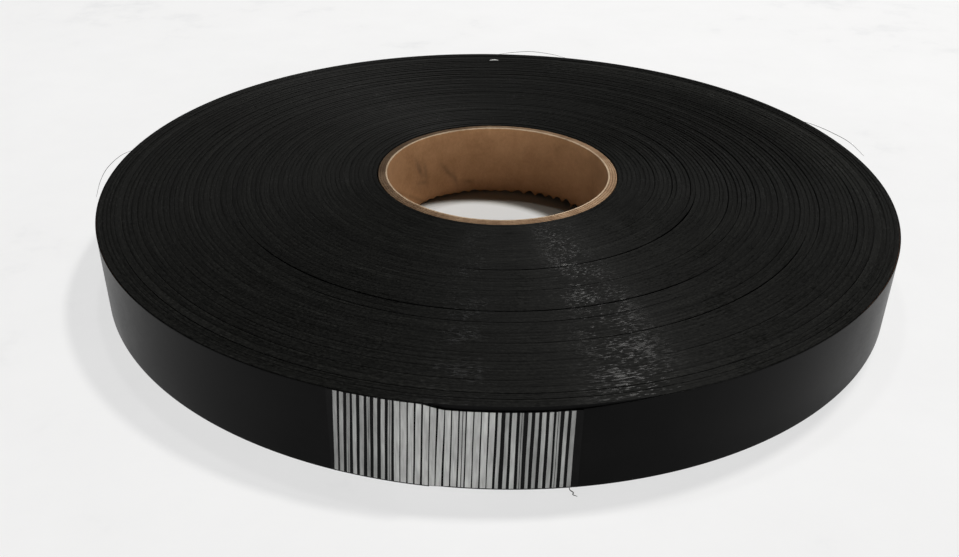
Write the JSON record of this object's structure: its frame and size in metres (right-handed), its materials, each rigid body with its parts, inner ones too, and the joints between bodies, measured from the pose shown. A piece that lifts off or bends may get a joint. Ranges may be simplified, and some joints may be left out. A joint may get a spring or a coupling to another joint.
{
  "type": "copper foil tape roll",
  "caption": "Flat pancake roll of black-faced copper foil tape on a kraft paperboard core, its free end held down by a striped label, both of which peel.",
  "frame": {"origin": "on the roll's axis, in the plane of the bottom face that it rests on", "axes": "+Z along the roll's axis, up; -Y towards the front, where the closing label is"},
  "size_m": [0.2636, 0.2637, 0.0254],
  "materials": {
    "core_liner": "matte",
    "core_board": "matte",
    "masking_paper": "matte",
    "wound_turns": "satin",
    "tape_liner": "satin",
    "tape_adhesive": "gloss",
    "copper_foil": "gloss",
    "label_film": "satin"
  },
  "bodies": {
    "roll": {"core_liner_ply": "core_liner", "core_body_ply_inner": "core_board", "core_body_ply_outer": "core_board", "core_cover_ply": "core_board", "start_tab": "masking_paper", "wound_turns_1": "wound_turns", "wound_turns_2": "wound_turns", "wound_turns_3": "wound_turns", "wound_turns_4": "wound_turns", "wound_turns_5": "wound_turns", "last_turn_liner": "tape_liner", "last_turn_adhesive": "tape_adhesive", "last_turn_foil": "copper_foil"},
    "tape_end": {"end_flap_liner": "tape_liner", "end_flap_adhesive": "tape_adhesive", "end_flap_foil": "copper_foil", "label_stuck_half": "label_film"},
    "label_tab": {"label_tab": "label_film"}
  },
  "joints": [
    {"name": "tape_end_peel", "type": "hinge", "parent": "roll", "child": "tape_end", "pos_m": [-0.08733, -0.09958, 0.0127], "axis": [0, 0, -1], "range_deg": [0, 75]},
    {"name": "label_tab_peel", "type": "hinge", "parent": "tape_end", "child": "label_tab", "pos_m": [-0.01706, -0.1319, 0.0127], "axis": [0, 0, -1], "range_deg": [0, 70]}
  ]
}
